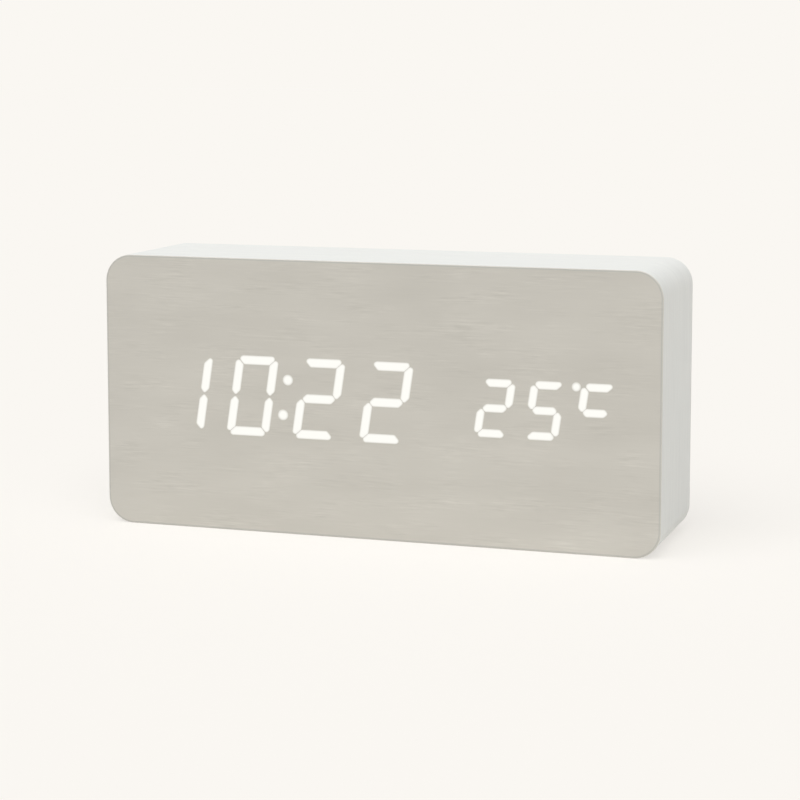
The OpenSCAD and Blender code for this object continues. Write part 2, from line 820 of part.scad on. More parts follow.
// A lead from a contact plate's tail, under the bay, to the front of the control board
module battery_lead(from_plate, pad_z) {
  straight = [0, lead_d, 0];
  dip = [0, lead_dip, 0];
  start = [bay_x + from_plate[0] * (bay_l - plate_t) / 2, tail_end, from_plate[1]];
  end = [control_x + lead_pad.x, control_front, pad_z];
  bend = [start - straight, start - straight - dip, end - straight - dip, end - straight];
  tube(concat([start], bezier(bend, lead_steps), [end]), lead_d / 2, lead_sides, [0, 0, 1]);
}

module battery_lead_red() {
  color("#b5302a") battery_lead(end_plates[0], mid_z - lead_pad.y);
}

module battery_lead_black() {
  color("#1c1c1e") battery_lead(end_plates[1], mid_z + lead_pad.y);
}

// Control board and what it carries

module control_board() {
  color("#2f6b46") difference() {
    block(control_x, mid_z, control_w, control_h, control_front, control_back);
    at_bosses() peg(0, 0, board_screw_d + 2 * screw_clear, control_front - over, control_back + over);
  }
}

module board_screws() {
  color("#b9babd") at_bosses() screw(board_screw_d, board_screw_l, control_front, -1);
}

module controller_chip() {
  color("#26272a") on_control(controller_at, -1) legged_chip();
}

module crystal() {
  color("#c9cbcd") on_control(crystal_at, -1) translate([0, crystal_l / 2, crystal_d / 2])
    rotate([90, 0, 0]) cylinder(d = crystal_d, h = crystal_l);
}

module chip_resistors() {
  color("#303236") for (i = [0:resistor_count - 1])
    on_control(resistors_at + [i * resistor_pitch, 0], -1)
      translate([-resistor_size.x / 2, -resistor_size.z / 2, 0])
        cube([resistor_size.x, resistor_size.z, resistor_size.y]);
}

module smoothing_capacitor() {
  color("#2b3550") on_control(capacitor_at, -1) cylinder(d = capacitor_d, h = capacitor_h);
}

module buzzer() {
  color("#232427") on_control(buzzer_at, 1) difference() {
    cylinder(d = buzzer_d, h = buzzer_h);
    translate([0, 0, buzzer_h - buzzer_hole[1]]) cylinder(d = buzzer_hole[0], h = buzzer_hole[1] + over);
  }
}

module microphone() {
  color("#b4b6b9") on_control(microphone_at, 1) cylinder(d = microphone_d, h = microphone_h);
}

module temperature_sensor() {
  color("#1d2a22") {
    translate([control_x + sensor_at.x, sensor_y, mid_z + sensor_at.y]) sphere(d = sensor_d);
    for (side = [-1, 1])
      peg(control_x + sensor_at.x + side * sensor_lead_x, mid_z + sensor_at.y, sensor_lead_d,
        control_back, sensor_y);
  }
}

// Outline of the power socket, grown by a clearance: a flat hexagon with a narrower lower side
function usb_outline(grow) =
  let (x = usb_w / 2 + grow, z = usb_h / 2 + grow, in = x - usb_taper)
  [[-x, z], [x, z], [x, 0], [in, -z], [-in, -z], [-x, 0]];

module usb_slab(grow, from, to) {
  slab(from, to) translate([control_x + usb_at.x, mid_z + usb_at.y]) polygon(usb_outline(grow));
}

module usb_shell() {
  color("#c2c4c7") difference() {
    usb_slab(0, control_back, usb_end);
    usb_slab(-usb_shell_t, control_back - over, usb_end + over);
  }
}

module usb_tongue() {
  color("#1a1a1c") {
    usb_slab(-usb_shell_t, control_back, control_back + usb_base);
    block(control_x + usb_at.x, mid_z + usb_at.y + usb_tongue_size.y / 2,
      usb_tongue_size.x, usb_tongue_size.y, control_back, usb_end - usb_tongue_back);
  }
}

module coin_cell_holder() {
  r = coin_d / 2 + coin_clear;
  color("#e4e2da") on_control(coin_at, -1) difference() {
    cylinder(r = r + holder_rim, h = holder_base + coin_t);
    translate([0, 0, holder_base]) cylinder(r = r, h = coin_t + over);
    translate([-holder_notch / 2, -r - holder_rim - over, holder_base])
      cube([holder_notch, holder_rim + 2 * over, coin_t + over]);
  }
}

module coin_cell() {
  color("#cfd1d3") on_control(coin_at, -1) translate([0, 0, holder_base]) cylinder(d = coin_d, h = coin_t);
}

// A steel strap over the coin cell, with a leg to the board on either side of the holder
module coin_cell_strap() {
  inner = coin_d / 2 + coin_clear + holder_rim + strap_side;
  top = holder_base + coin_t;
  color("#c4c6c8") on_control(coin_at, -1) rotate([90, 0, 0]) linear_extrude(strap_w, center = true)
    difference() {
      translate([-inner - strap_t, 0]) square([2 * (inner + strap_t), top + strap_t]);
      translate([-inner, -over]) square([2 * inner, top + over]);
    }
}

module control_socket() {
  color("#efece2") on_control(socket_at, -1) ribbon_socket();
}

// A flat cable from socket to socket, drawn as a band in Y and Z
module ribbon_cable() {
  from = [board_back + socket_size.y, mid_z + socket_at.y - socket_drop];
  to = [control_front - socket_size.y, mid_z + socket_at.y];
  half = (to.x - from.x) / 2;
  line = bezier([from, [from.x + half, from.y], [to.x - half, to.y], to], ribbon_steps);
  side = [for (i = [0:ribbon_steps])
    let (t = i == 0 || i == ribbon_steps ? [1, 0] : along(line, i)) ribbon_t / 2 * [-t.y, t.x]];
  color("#8d9096") translate([control_x + socket_at.x - ribbon_w / 2, 0, 0])
    rotate([90, 0, 90]) linear_extrude(ribbon_w)
      polygon(concat(line + side, [for (i = [ribbon_steps:-1:0]) line[i] - side[i]]));
}

// Push switches and the caps that press them

module switch_bodies() {
  color("#2a2b2e") for (i = [-1:1])
    on_control([i * button_pitch, button_rise], 1) difference() {
      translate([-switch_w / 2, -switch_w / 2, 0]) cube([switch_w, switch_w, switch_h]);
      translate([0, 0, switch_h - plunger_in - button_travel - plunger_side])
        cylinder(d = plunger_d + 2 * plunger_side, h = switch_h);
    }
}

module button_cap(i) {
  r = button_d / 2;
  top = cover_out + button_proud - flange_front;
  dish_w = r - 2 * cap_edge;
  dish_r = (dish_w * dish_w + button_dish * button_dish) / (2 * button_dish);
  color("#2b2c2f") translate([control_x + i * button_pitch, flange_front, mid_z + button_rise])
    rotate([-90, 0, 0]) union() {
      difference() {
        rotate_extrude() polygon([[0, 0], [flange_d / 2, 0], [flange_d / 2, flange_t], [r, flange_t],
          [r, top - cap_edge], [r - cap_edge, top], [0, top]]);
        translate([0, 0, top - button_dish + dish_r]) sphere(dish_r);
      }
      translate([0, 0, top - button_dish - mark_root]) linear_extrude(mark_root + mark_h) cap_mark(i);
    }
}

// A dot for set, and a triangle that points up or down
module cap_mark(i) {
  way = i == 0 ? -1 : 1;
  if (i == 1) circle(mark_dot_r);
  else polygon(mark_r * way * [[0, 1], [cos(30), -sin(30)], [-cos(30), -sin(30)]]);
}

module plunger(i) {
  color("#d9d7cf") peg(control_x + i * button_pitch, mid_z + button_rise, plunger_d,
    switch_top - plunger_in, flange_front);
}

module set_button() button_cap(1);
module up_button() button_cap(0);
module down_button() button_cap(-1);
module set_plunger() plunger(1);
module up_plunger() plunger(0);
module down_plunger() plunger(-1);

// The least gap between the curls of a contact spring, from its path's points
curl_gaps = [for (i = [0:len(spring_path) - 1], j = [i + spring_rings / 2:len(spring_path) - 1])
  norm(spring_path[i] - spring_path[j]) - spring_wire];
echo(least_gap_between_spring_curls = min(curl_gaps));

case_body();
wrap_film();
front_film();
back_film();
display_reflector();
lit_time_segments();
lit_temperature_segments();
lit_dots();
unlit_segments();
led_chips();
display_board();
driver_chip();
display_socket();
display_screws();
rear_cover();
cover_screws();
battery_door();
battery_cells();
contact_plates();
contact_springs();
battery_lead_red();
battery_lead_black();
control_board();
board_screws();
controller_chip();
crystal();
chip_resistors();
smoothing_capacitor();
buzzer();
microphone();
temperature_sensor();
usb_shell();
usb_tongue();
coin_cell_holder();
coin_cell();
coin_cell_strap();
control_socket();
ribbon_cable();
switch_bodies();
set_button();
set_plunger();
up_button();
up_plunger();
down_button();
down_plunger();
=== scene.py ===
import math

import bmesh
import bpy
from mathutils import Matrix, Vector


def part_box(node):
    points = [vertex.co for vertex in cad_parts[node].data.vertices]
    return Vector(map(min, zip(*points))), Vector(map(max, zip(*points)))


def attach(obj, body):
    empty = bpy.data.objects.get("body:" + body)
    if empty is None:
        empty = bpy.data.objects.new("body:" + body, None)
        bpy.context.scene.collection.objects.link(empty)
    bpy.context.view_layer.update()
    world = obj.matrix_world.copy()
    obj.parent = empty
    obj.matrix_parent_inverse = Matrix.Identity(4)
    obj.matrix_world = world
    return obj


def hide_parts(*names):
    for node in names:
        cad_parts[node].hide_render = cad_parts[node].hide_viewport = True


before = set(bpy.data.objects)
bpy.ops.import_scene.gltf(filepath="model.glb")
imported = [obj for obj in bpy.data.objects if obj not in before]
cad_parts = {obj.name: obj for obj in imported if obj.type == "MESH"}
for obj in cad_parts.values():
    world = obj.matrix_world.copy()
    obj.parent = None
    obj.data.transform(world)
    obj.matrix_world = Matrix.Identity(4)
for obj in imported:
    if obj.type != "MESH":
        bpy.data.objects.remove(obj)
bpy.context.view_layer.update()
mm = 0.001
print("frame loaded,", len(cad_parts), "nodes")


# Colours are written as sRGB hex values and turned to linear here
def linear(hexColour):
    parts = [int(hexColour[i:i + 2], 16) / 255 for i in (1, 3, 5)]
    return [p / 12.92 if p <= 0.04045 else ((p + 0.055) / 1.055) ** 2.4 for p in parts] + [1]


# Adds a node with its settings: a value goes on a socket, and a socket of another node is linked to it
def addNode(tree, kind, inputs, **settings):
    node = tree.nodes.new("ShaderNode" + kind)
    for name, value in settings.items():
        setattr(node, name, value)
    for name, value in inputs.items():
        if isinstance(value, bpy.types.NodeSocket):
            tree.links.new(value, node.inputs[name])
        else:
            node.inputs[name].default_value = value
    return node


def newFinish(name):
    finish = bpy.data.materials.new(name)
    finish.use_nodes = True
    finish.node_tree.nodes.clear()
    return finish, finish.node_tree


# Modelling helpers

# What counts as one point, on a plane, along an axis, one flat face and a sharp edge
limits = {"merge": 0.002 * mm, "onPlane": 0.001 * mm, "along": 0.99, "flat": math.radians(0.5),
          "sharp": math.radians(35)}


def deselectAll():
    if bpy.context.mode != "OBJECT":
        bpy.ops.object.mode_set(mode="OBJECT")
    bpy.ops.object.select_all(action="DESELECT")


def selectOnly(piece):
    deselectAll()
    bpy.context.view_layer.objects.active = piece
    piece.select_set(True)


# Names a new primitive and puts its place and size into its mesh
def takePiece(name):
    piece = bpy.context.object
    piece.name = piece.data.name = name
    bpy.ops.object.transform_apply(location=True, rotation=True, scale=True)
    return piece


def addBox(name, low, high):
    deselectAll()
    bpy.ops.mesh.primitive_cube_add(size=1, location=(low + high) / 2, scale=high - low)
    return takePiece(name)


# A merged copy of a CAD node's mesh, with flat stretches made whole faces
def copyNode(node, name):
    piece = bpy.data.objects.new(name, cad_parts[node].data.copy())
    piece.data.name = name
    bpy.context.scene.collection.objects.link(piece)
    startEdit(piece)
    bpy.ops.mesh.customdata_custom_splitnormals_clear()
    bpy.ops.mesh.select_all(action="SELECT")
    bpy.ops.mesh.remove_doubles(threshold=limits["merge"])
    bpy.ops.mesh.dissolve_limited(angle_limit=limits["flat"])
    return piece


def startEdit(piece):
    selectOnly(piece)
    bpy.ops.object.mode_set(mode="EDIT")


# Selects the parts of the mesh being edited that pass a test
def pick(kind, test):
    mode = {"verts": "VERT", "edges": "EDGE", "faces": "FACE"}[kind]
    bpy.ops.mesh.select_mode(type=mode)
    bpy.ops.mesh.select_all(action="DESELECT")
    mesh = bmesh.from_edit_mesh(bpy.context.edit_object.data)
    mesh.normal_update()
    for part in getattr(mesh, kind):
        if test(part):
            part.select_set(True)
    mesh.select_flush_mode()
    bmesh.update_edit_mesh(bpy.context.edit_object.data)


def isAlongY(edge):
    step = edge.verts[1].co - edge.verts[0].co
    return abs(step.y) > limits["along"] * step.length


# Whether an edge or a face lies wholly in the upright plane at y
def isAtY(part, y):
    return all(abs(v.co.y - y) < limits["onPlane"] for v in part.verts)


def isSharp(edge):
    return edge.is_manifold and edge.calc_face_angle() > limits["sharp"]


# Bevels can fold a wide face over itself between its holes, so it is laid anew inside its edges
def layFlat(y):
    pick("faces", lambda f: abs(f.normal.y) > limits["along"] and isAtY(f, y))
    bpy.ops.mesh.delete(type="FACE")
    pick("edges", lambda e: e.is_boundary and isAtY(e, y))
    bpy.ops.mesh.fill()
    bpy.ops.mesh.dissolve_limited(angle_limit=limits["flat"])


# Rounds the sharp edges of the piece being edited that lie in the given planes
def softenEdges(planes, edge, steps):
    pick("edges", lambda e: isSharp(e) and any(isAtY(e, y) for y in planes))
    bpy.ops.mesh.bevel(offset=edge, segments=steps, affect="EDGES", clamp_overlap=False, loop_slide=False)
    for y in planes:
        layFlat(y)


# Ends the modelling of a piece: smooth shading, finish, body and the nodes it stands for
def dress(piece, finish, body, slot, *nodes):
    selectOnly(piece)
    bpy.ops.object.shade_smooth_by_angle(angle=limits["sharp"])
    level = piece.modifiers.new("level", "WEIGHTED_NORMAL")  # wide faces stay flat beside their rounded edges
    level.keep_sharp = True
    bpy.ops.object.modifier_apply(modifier="level")
    piece.data.materials.clear()
    for one in finish if isinstance(finish, list) else [finish]:
        piece.data.materials.append(one)
    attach(piece, body)
    if nodes:
        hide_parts(*nodes)
    return piece


# Finishes

noiseAt = {"low": 0.3, "middle": 0.5, "high": 0.7}  # where the values of a noise texture mostly lie


# PVC foil, calendered and wrapped round fibreboard: a satin white with a shallow pressed grain
def whiteFoil():
    look = {"dark": "#E3E5E3", "light": "#ECEEEB", "grainWide": 1.1 * mm, "grainLong": 55 * mm,
            "poreWide": 0.3 * mm, "poreLong": 9 * mm, "shades": (0.7, 1.3), "rough": (0.5, 0.4),
            "relief": 0.02 * mm, "bump": 0.35, "ior": 1.53}
    finish, tree = newFinish("white_pvc_foil")
    way = addNode(tree, "UVMap", {}, uv_map="grainWay")
    layers = {}
    for kind, detail in (("grain", 4), ("pore", 2)):
        size = (1 / look[kind + "Long"], 1 / look[kind + "Wide"], 1)
        at = addNode(tree, "Mapping", {"Vector": way.outputs[0], "Scale": size})
        noise = addNode(tree, "TexNoise", {"Vector": at.outputs[0], "Scale": 1, "Detail": detail})
        layers[kind] = noise.outputs[0]
    both = addNode(tree, "Math", {0: layers["grain"], 1: layers["pore"]}, operation="ADD")
    shade = addNode(tree, "MapRange", {0: both.outputs[0], 1: look["shades"][0], 2: look["shades"][1]})
    tone = addNode(tree, "Mix", {0: shade.outputs[0], 6: linear(look["dark"]), 7: linear(look["light"])},
                   data_type="RGBA")
    gloss = addNode(tree, "MapRange", {0: layers["pore"], 1: noiseAt["low"], 2: noiseAt["high"],
                                       3: look["rough"][0], 4: look["rough"][1]})
    relief = addNode(tree, "Bump", {"Height": both.outputs[0], "Strength": look["bump"],
                                    "Distance": look["relief"]})
    shader = addNode(tree, "BsdfPrincipled", {"Base Color": tone.outputs[2], "Roughness": gloss.outputs[0],
                                              "Normal": relief.outputs[0], "IOR": look["ior"]})
    addNode(tree, "OutputMaterial", {"Surface": shader.outputs[0]})
    return finish


# PVC foil printed with a pale straight grain: a matt greige with faint level streaks that come and go in
# patches, with painted shade along its edge and a painted highlight where it turns at the rim
def greigeFoil():
    look = {"dark": "#B5B2AA", "light": "#D2CFC7", "pressed": "#B1B1AC", "painted_rim_highlight": "#E6E5E0",
            "streakWide": 0.55 * mm, "streakLong": 9 * mm, "fleckWide": 0.34 * mm, "fleckLong": 3.5 * mm,
            "patchWide": 4.5 * mm, "patchLong": 16 * mm, "driftWide": 10 * mm, "driftLong": 34 * mm,
            "sway": 1.2 * mm, "swayLong": 40 * mm, "fleckShare": 0.5, "driftShare": 0.55,
            "patches": (-0.06, 0.16), "patchShare": (0.12, 1.1), "shades": (-0.2, 0.2), "rough": (0.62, 0.5),
            "relief": 0.02 * mm, "bump": 0.3, "ior": 1.5}
    finish, tree = newFinish("greige_grain_foil")
    place = addNode(tree, "TexCoord", {})
    sway = addNode(tree, "TexNoise", {"Vector": place.outputs["Object"], "Scale": 1 / look["swayLong"],
                                      "Detail": 1})
    lift = addNode(tree, "VectorMath", {0: sway.outputs["Color"], 1: (0, 0, look["sway"])},
                   operation="MULTIPLY")
    bent = addNode(tree, "VectorMath", {0: place.outputs["Object"], 1: lift.outputs[0]}, operation="ADD")
    layers = {}
    for kind, detail in (("streak", 3), ("fleck", 2), ("patch", 2), ("drift", 1)):
        size = (1 / look[kind + "Long"], 1, 1 / look[kind + "Wide"])
        at = addNode(tree, "Mapping", {"Vector": bent.outputs[0], "Scale": size})
        noise = addNode(tree, "TexNoise", {"Vector": at.outputs[0], "Scale": 1, "Detail": detail})
        centred = addNode(tree, "Math", {0: noise.outputs[0], 1: noiseAt["middle"]}, operation="SUBTRACT")
        layers[kind] = centred.outputs[0]
    fine = addNode(tree, "Math", {0: layers["fleck"], 1: look["fleckShare"], 2: layers["streak"]},
                   operation="MULTIPLY_ADD")
    share = addNode(tree, "MapRange", {0: layers["patch"], 1: look["patches"][0], 2: look["patches"][1],
                                       3: look["patchShare"][0], 4: look["patchShare"][1]})
    patchy = addNode(tree, "Math", {0: fine.outputs[0], 1: share.outputs[0]}, operation="MULTIPLY")
    shade = addNode(tree, "Math", {0: layers["drift"], 1: look["driftShare"], 2: patchy.outputs[0]},
                    operation="MULTIPLY_ADD")
    level = addNode(tree, "Math", {0: shade.outputs[0], 1: noiseAt["middle"]}, operation="ADD")
    colour = addNode(tree, "Mix", {0: level.outputs[0], 6: linear(look["dark"]), 7: linear(look["light"])},
                     data_type="RGBA")
    # Painted shade in the band along the edge and a painted highlight on the rounded rim, mixed over the
    # grain
    for kind in ("pressed", "painted_rim_highlight"):
        share = addNode(tree, "Attribute", {}, attribute_name=kind)
        colour = addNode(tree, "Mix", {0: share.outputs["Fac"], 6: colour.outputs[2], 7: linear(look[kind])},
                         data_type="RGBA")
    gloss = addNode(tree, "MapRange", {0: patchy.outputs[0], 1: look["shades"][0], 2: look["shades"][1],
                                       3: look["rough"][0], 4: look["rough"][1]})
    relief = addNode(tree, "Bump", {"Height": patchy.outputs[0], "Strength": look["bump"],
                                    "Distance": look["relief"]})
    shader = addNode(tree, "BsdfPrincipled", {"Base Color": colour.outputs[2], "Roughness": gloss.outputs[0],
                                              "Normal": relief.outputs[0], "IOR": look["ior"]})
    addNode(tree, "OutputMaterial", {"Surface": shader.outputs[0]})
    return finish


# Light that comes through the foil: warm white, fading into the foil's own colour at a segment's edge
def shiningFoil():
    look = {"core": "#FFFEF8", "foil": "#C4C1B9", "underCore": "#050505", "fade": (-0.5, 0.95), "rough": 0.56,
            "gloss": 0.5}
    finish, tree = newFinish("light_through_foil")
    reach = addNode(tree, "Attribute", {}, attribute_name="reach")
    fade = addNode(tree, "MapRange", {0: reach.outputs["Fac"], 1: look["fade"][0], 2: look["fade"][1]},
                   interpolation_type="SMOOTHSTEP")
    tone = addNode(tree, "Mix", {0: fade.outputs[0], 6: linear(look["foil"]), 7: linear(look["underCore"])},
                   data_type="RGBA")
    gloss = addNode(tree, "MapRange", {0: fade.outputs[0], 3: look["gloss"], 4: 0})
    shader = addNode(tree, "BsdfPrincipled", {"Base Color": tone.outputs[2], "Roughness": look["rough"],
                                              "Specular IOR Level": gloss.outputs[0],
                                              "Emission Color": linear(look["core"]),
                                              "Emission Strength": fade.outputs[0]})
    addNode(tree, "OutputMaterial", {"Surface": shader.outputs[0]})
    finish.cycles.emission_sampling = "NONE"
    return finish


# Most pieces have one colour that wanders a little, a gloss that wanders with it and a fine relief.
# The grain is the size of the relief, the drift is the size of the colour's wander, and the speck says how
# much the relief's own lights and darks show in the colour.
def plainFinish(name, dark, light, grain=0.4 * mm, drift=6 * mm, relief=0.01 * mm, bump=0.5,
                rough=(0.4, 0.5), speck=0.0, **sockets):
    finish, tree = newFinish(name)
    place = addNode(tree, "TexCoord", {})
    wander = addNode(tree, "TexNoise", {"Vector": place.outputs["Object"], "Scale": 1 / drift, "Detail": 4})
    grit = addNode(tree, "TexNoise", {"Vector": place.outputs["Object"], "Scale": 1 / grain, "Detail": 2})
    both = addNode(tree, "Mix", {0: speck, 2: wander.outputs[0], 3: grit.outputs[0]})
    shade = addNode(tree, "MapRange", {0: both.outputs[0], 1: noiseAt["low"], 2: noiseAt["high"]})
    tone = addNode(tree, "Mix", {0: shade.outputs[0], 6: linear(dark), 7: linear(light)}, data_type="RGBA")
    gloss = addNode(tree, "MapRange", {0: both.outputs[0], 1: noiseAt["low"], 2: noiseAt["high"],
                                       3: rough[0], 4: rough[1]})
    height = addNode(tree, "Bump", {"Height": grit.outputs[0], "Strength": bump, "Distance": relief})
    shader = addNode(tree, "BsdfPrincipled", {"Base Color": tone.outputs[2], "Roughness": gloss.outputs[0],
                                              "Normal": height.outputs[0], **sockets})
    addNode(tree, "OutputMaterial", {"Surface": shader.outputs[0]})
    return finish


# Fibreboard, cut and not painted: short pale and dark fibres lying all ways in a brown board
def fibreboard():
    look = {"dark": "#8A6B48", "light": "#BE9C70", "fibre": 0.5 * mm, "harshness": 0.7, "tangle": 1.5,
            "rough": 0.85, "relief": 0.05 * mm, "bump": 0.6}
    finish, tree = newFinish("cut_fibreboard")
    place = addNode(tree, "TexCoord", {})
    fibres = addNode(tree, "TexNoise", {"Vector": place.outputs["Object"], "Scale": 1 / look["fibre"],
                                        "Detail": 5, "Roughness": look["harshness"],
                                        "Distortion": look["tangle"]})
    shade = addNode(tree, "MapRange", {0: fibres.outputs[0], 1: noiseAt["low"], 2: noiseAt["high"]})
    tone = addNode(tree, "Mix", {0: shade.outputs[0], 6: linear(look["dark"]), 7: linear(look["light"])},
                   data_type="RGBA")
    relief = addNode(tree, "Bump", {"Height": fibres.outputs[0], "Strength": look["bump"],
                                    "Distance": look["relief"]})
    shader = addNode(tree, "BsdfPrincipled", {"Base Color": tone.outputs[2], "Roughness": look["rough"],
                                              "Normal": relief.outputs[0]})
    addNode(tree, "OutputMaterial", {"Surface": shader.outputs[0]})
    return finish


# Glass-epoxy board under green lacquer: paler copper tracks show through as a net of right angles.
# The tracks' width and length are in pitches.
def circuitBoard():
    look = {"lacquer": "#1F5A38", "paleLacquer": "#23623E", "track": "#3C8256", "trackPitch": 1.3 * mm,
            "trackWide": 0.06, "trackSoft": 0.3, "trackLong": 3.4, "rough": 0.3, "coat": 0.3,
            "relief": 0.03 * mm, "bump": 0.4}
    finish, tree = newFinish("lacquered_circuit_board")
    place = addNode(tree, "TexCoord", {})
    flat = addNode(tree, "Mapping", {"Vector": place.outputs["Object"], "Rotation": (math.pi / 2, 0, 0),
                                     "Scale": (1 / look["trackPitch"],) * 3})
    tracks = addNode(tree, "TexBrick", {"Vector": flat.outputs[0], "Scale": 1, "Row Height": 1,
                                        "Brick Width": look["trackLong"], "Mortar Size": look["trackWide"],
                                        "Mortar Smooth": look["trackSoft"],
                                        "Color1": linear(look["lacquer"]),
                                        "Color2": linear(look["paleLacquer"]),
                                        "Mortar": linear(look["track"])})
    relief = addNode(tree, "Bump", {"Height": tracks.outputs[1], "Strength": look["bump"],
                                    "Distance": look["relief"]})
    shader = addNode(tree, "BsdfPrincipled", {"Base Color": tracks.outputs[0], "Roughness": look["rough"],
                                              "Normal": relief.outputs[0], "Coat Weight": look["coat"]})
    addNode(tree, "OutputMaterial", {"Surface": shader.outputs[0]})
    return finish


# Flat cable of ten wires moulded side by side in grey PVC: a rounded rib over each wire, with painted shade
# in the grooves and a painted highlight on the crests
def ribbonPvc():
    look = {"dark": "#6F7278", "light": "#A3A6AB", "wirePitch": 1.27 * mm, "rough": 0.5, "relief": 0.3 * mm,
            "bump": 0.8}
    finish, tree = newFinish("grey_pvc_ribbon")
    place = addNode(tree, "TexCoord", {})
    waveLong = math.tau / 20  # over this length a wave texture of scale 1 repeats
    ribs = addNode(tree, "TexWave", {"Vector": place.outputs["Object"],
                                     "Scale": waveLong / look["wirePitch"]}, bands_direction="X")
    # The colour follows the ribs: painted shade in the grooves, painted highlight on each crest
    tone = addNode(tree, "Mix", {0: ribs.outputs[1], 6: linear(look["dark"]), 7: linear(look["light"])},
                   data_type="RGBA")
    relief = addNode(tree, "Bump", {"Height": ribs.outputs[1], "Strength": look["bump"],
                                    "Distance": look["relief"]})
    shader = addNode(tree, "BsdfPrincipled", {"Base Color": tone.outputs[2], "Roughness": look["rough"],
                                              "Normal": relief.outputs[0]})
    addNode(tree, "OutputMaterial", {"Surface": shader.outputs[0]})
    return finish


# Foil shrunk over a cell: slate blue with a silver ring near the plus end, and fine scuffs along the cell
def cellSleeve():
    look = {"body": "#45607E", "ring": "#C9CDD2", "ringFrom": 33 * mm, "ringTo": 36.5 * mm,
            "scuffWide": 0.5 * mm, "scuffLong": 10 * mm, "scuffs": (0.35, 0.7), "rough": (0.24, 0.4),
            "metallic": 0.35}
    finish, tree = newFinish("printed_cell_sleeve")
    way = addNode(tree, "UVMap", {}, uv_map="aroundCell")
    along = addNode(tree, "SeparateXYZ", {0: way.outputs[0]})
    past = addNode(tree, "Math", {0: along.outputs[0], 1: look["ringFrom"]}, operation="GREATER_THAN")
    before = addNode(tree, "Math", {0: along.outputs[0], 1: look["ringTo"]}, operation="LESS_THAN")
    ring = addNode(tree, "Math", {0: past.outputs[0], 1: before.outputs[0]}, operation="MULTIPLY")
    tone = addNode(tree, "Mix", {0: ring.outputs[0], 6: linear(look["body"]), 7: linear(look["ring"])},
                   data_type="RGBA")
    size = (1 / look["scuffLong"], 1 / look["scuffWide"], 1)
    scuffAt = addNode(tree, "Mapping", {"Vector": way.outputs[0], "Scale": size})
    scuffs = addNode(tree, "TexNoise", {"Vector": scuffAt.outputs[0], "Scale": 1, "Detail": 3})
    gloss = addNode(tree, "MapRange", {0: scuffs.outputs[0], 1: look["scuffs"][0], 2: look["scuffs"][1],
                                       3: look["rough"][0], 4: look["rough"][1]})
    shader = addNode(tree, "BsdfPrincipled", {"Base Color": tone.outputs[2], "Roughness": gloss.outputs[0],
                                              "Metallic": look["metallic"]})
    addNode(tree, "OutputMaterial", {"Surface": shader.outputs[0]})
    return finish


whiteFoilFinish = whiteFoil()
cellSleeveFinish = cellSleeve()
greigeFoilFinish = greigeFoil()
shiningFinish = shiningFoil()
boardFinish = circuitBoard()
# ABS moulded in a spark-eroded tool: black, matt, with an even fine grit, drawn coarser so that it shows
coverFinish = plainFinish("black_eroded_abs", "#101113", "#34353A", grain=0.6 * mm, relief=0.2 * mm,
                          rough=(0.42, 0.66), speck=0.8, IOR=1.54)
# ABS moulded in a polished tool: black and glossier than the cover, with hair-fine handling marks
buttonFinish = plainFinish("black_polished_abs", "#151618", "#1E1F21", grain=0.8 * mm, relief=0.004 * mm,
                           rough=(0.28, 0.36), IOR=1.54)
# Steel with a black zinc coat: dark, half gloss, with a cloudy coat
blackSteelFinish = plainFinish("black_zinc_steel", "#2B2C2E", "#3D3E41", grain=0.25 * mm, drift=1.5 * mm,
                               rough=(0.32, 0.5), Metallic=1.0)
# Steel with a bright zinc coat: pale and a little blue, with a cloudy coat
zincSteelFinish = plainFinish("bright_zinc_steel", "#A9ACB0", "#C9CBCE", grain=0.25 * mm, drift=1.5 * mm,
                              rough=(0.28, 0.42), Metallic=1.0)
# Steel with a nickel coat, rolled and pressed: bright and warm, with soft streaks
nickelFinish = plainFinish("nickel_plated_steel", "#B7B4AD", "#D3D0C9", grain=0.3 * mm, drift=2 * mm,
                           relief=0.004 * mm, rough=(0.2, 0.34), Metallic=1.0)
# Polystyrene filled with white: chalky and even, so that it throws light forward
reflectorFinish = plainFinish("white_filled_polystyrene", "#E3E2DD", "#EFEEEA", rough=(0.5, 0.6))
# Acrylic with a milky filler, lit from behind
litLensFinish = plainFinish("lit_milky_acrylic", "#F1EFE4", "#FBFAF3", rough=(0.3, 0.36),
                            **{"Emission Color": linear("#FFFDF0"), "Emission Strength": 0.8})
litLensFinish.cycles.emission_sampling = "NONE"
# The same acrylic with no light behind it
unlitLensFinish = plainFinish("milky_acrylic", "#CFCFC8", "#DCDCD6", rough=(0.3, 0.36))
# Silicone with a yellow phosphor, cast over the light-emitting crystal
phosphorFinish = plainFinish("phosphor_silicone", "#E8D68A", "#F5E9AE", rough=(0.25, 0.35))
# Epoxy moulded round a chip: charcoal with a fine blasted grain
epoxyFinish = plainFinish("moulded_epoxy", "#222326", "#2E3033", grain=0.15 * mm, relief=0.02 * mm,
                          rough=(0.5, 0.65))
# Nylon moulded without colour: ivory and waxy
nylonFinish = plainFinish("natural_nylon", "#E6E1D3", "#F1EEE3", rough=(0.38, 0.48))
# PVC drawn over wire: an even colour with a soft shine
redPvcFinish = plainFinish("red_pvc", "#A32822", "#B93630", rough=(0.36, 0.44))
blackPvcFinish = plainFinish("black_pvc", "#17181A", "#232426", rough=(0.36, 0.44))
# Polyester shrunk over a can: dark blue with a clear shine
sleeveFinish = plainFinish("shrunk_polyester_sleeve", "#232C49", "#2F3A5C", rough=(0.22, 0.3))
# Acetal moulded without colour: cool white and slick
acetalFinish = plainFinish("natural_acetal", "#DAD8D0", "#E7E5DE", rough=(0.25, 0.33))

